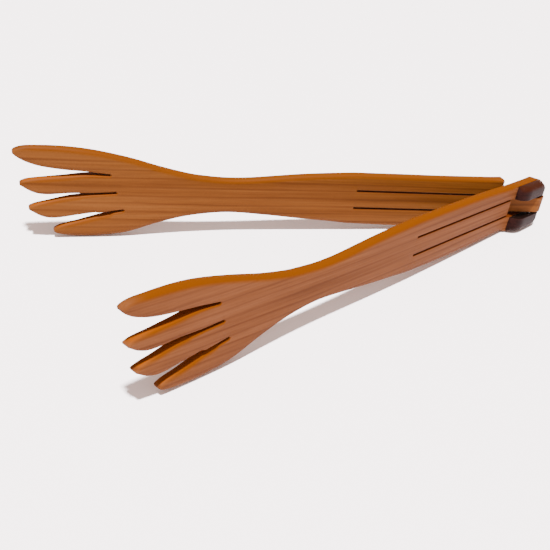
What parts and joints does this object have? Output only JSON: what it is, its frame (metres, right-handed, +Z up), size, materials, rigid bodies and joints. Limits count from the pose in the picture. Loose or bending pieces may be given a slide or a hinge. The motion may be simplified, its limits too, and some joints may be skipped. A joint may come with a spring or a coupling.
{
  "type": "spring loaded kitchen tongs",
  "caption": "Two flat wooden arms with forked fingers, crossing in an interleaved wooden hinge; sawn strips in the handles bend as a spring and push the arms apart.",
  "frame": {"origin": "centre of the bounding box, on the surface the tongs stand on", "axes": "+X along the tongs from the fingertips to the hinge, +Y from the front arm to the back arm, +Z up; the tongs stand on their long edges"},
  "size_m": [0.2834, 0.1384, 0.0457],
  "materials": {
    "cherry": "oiled cherry, satin",
    "walnut": "oiled black walnut, satin",
    "steel": "plain steel pin, hidden"
  },
  "bodies": {
    "back_arm": {"back_arm": "cherry"},
    "back_knuckle": {"centre_knuckle_strip": "cherry"},
    "back_springs": {"back_short_strip_upper": "cherry", "back_short_strip_lower": "cherry"},
    "front_knuckle": {"front_long_strip_upper": "cherry", "front_long_strip_lower": "cherry", "walnut_cheek_upper": "walnut", "walnut_cheek_lower": "walnut", "pivot_pin": "steel"},
    "front_arm": {"front_arm": "cherry"},
    "front_spring": {"front_short_strip": "cherry"}
  },
  "joints": [
    {"name": "pivot", "type": "hinge", "parent": "back_knuckle", "child": "front_knuckle", "pos_m": [0.1327, -0.00263, 0.01384], "axis": [-0.0387, -0.0117, -0.9992], "range_deg": [0, 21], "stiffness_Nm_per_rad": 4},
    {"name": "back_knuckle_flex", "type": "hinge", "parent": "back_arm", "child": "back_knuckle", "pos_m": [0.02798, 0.02628, 0.01756], "axis": [-0.0387, -0.0117, -0.9992], "range_deg": [0, 4.2]},
    {"name": "front_arm_flex", "type": "hinge", "parent": "front_knuckle", "child": "front_arm", "pos_m": [0.02274, -0.02686, 0.01839], "axis": [-0.0387, -0.0117, -0.9992], "range_deg": [0, 4.2]},
    {"name": "back_springs_flex", "type": "hinge", "parent": "back_arm", "child": "back_springs", "pos_m": [0.02798, 0.02628, 0.01756], "axis": [0.0387, 0.0117, 0.9992], "range_deg": [0, 1.05]},
    {"name": "front_spring_flex", "type": "hinge", "parent": "front_arm", "child": "front_spring", "pos_m": [0.02274, -0.02686, 0.01839], "axis": [-0.0387, -0.0117, -0.9992], "range_deg": [0, 1.05]}
  ],
  "couplings": [
    {"joint": "back_knuckle_flex", "follows": "pivot", "ratio": 0.2},
    {"joint": "front_arm_flex", "follows": "pivot", "ratio": 0.2},
    {"joint": "back_springs_flex", "follows": "pivot", "ratio": 0.05},
    {"joint": "front_spring_flex", "follows": "pivot", "ratio": 0.05}
  ]
}
